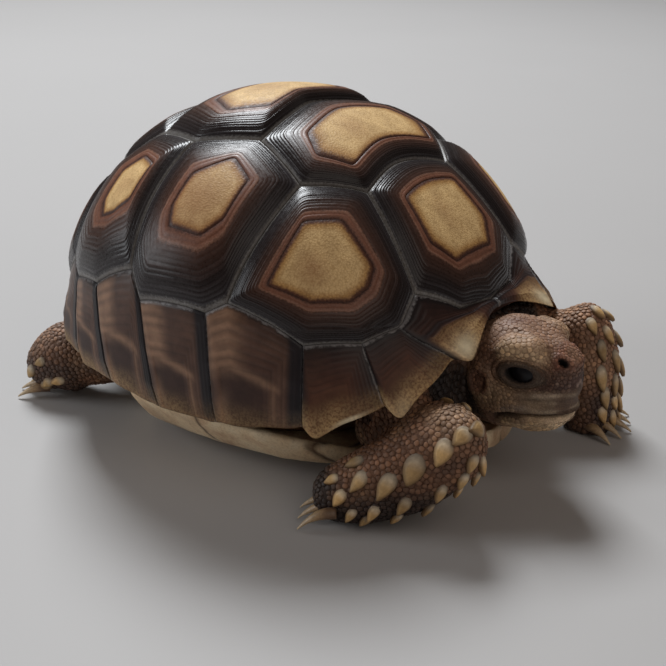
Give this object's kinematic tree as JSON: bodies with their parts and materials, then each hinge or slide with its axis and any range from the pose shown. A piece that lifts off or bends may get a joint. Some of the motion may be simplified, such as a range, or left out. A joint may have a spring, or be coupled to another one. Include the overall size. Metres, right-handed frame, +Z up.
{
  "type": "sulcata tortoise",
  "caption": "Young African spurred tortoise at life size, standing still with its head out, with a high domed shell of separate horn scutes over scaly legs.",
  "frame": {"origin": "on the ground below the middle of the animal's bounding box", "axes": "+Z up; the animal faces -Y and its own left side is +X"},
  "size_m": [0.0704, 0.0924, 0.053],
  "materials": {
    "scute": "satin horn, near black with a dull tan centre",
    "rim": "satin horn, brown with a tan free edge",
    "belly": "matte cream horn",
    "skin": "dry scaly hide, reddish brown with tan scales",
    "claw": "dull tan horn",
    "eye": "wet black"
  },
  "bodies": {
    "root": {"costal_right_1": "scute", "costal_right_2": "scute", "costal_right_3": "scute", "costal_right_4": "scute", "marginal_right_1": "rim", "marginal_right_2": "rim", "marginal_right_3": "rim", "marginal_right_4": "rim", "marginal_right_5": "rim", "marginal_right_6": "rim", "marginal_right_7": "rim", "marginal_right_8": "rim", "marginal_right_9": "rim", "marginal_right_10": "rim", "marginal_right_11": "rim", "costal_left_1": "scute", "costal_left_2": "scute", "costal_left_3": "scute", "costal_left_4": "scute", "marginal_left_1": "rim", "marginal_left_2": "rim", "marginal_left_3": "rim", "marginal_left_4": "rim", "marginal_left_5": "rim", "marginal_left_6": "rim", "marginal_left_7": "rim", "marginal_left_8": "rim", "marginal_left_9": "rim", "marginal_left_10": "rim", "marginal_left_11": "rim", "vertebral_1": "scute", "vertebral_2": "scute", "vertebral_3": "scute", "vertebral_4": "scute", "vertebral_5": "scute", "supracaudal": "rim", "plastron": "belly", "trunk": "skin", "neck": "skin", "head": "skin", "tail": "skin", "leg_front_right": "skin", "leg_front_left": "skin", "leg_rear_right": "skin", "leg_rear_left": "skin", "eye_right": "eye", "eye_left": "eye"}
  },
  "joints": []
}
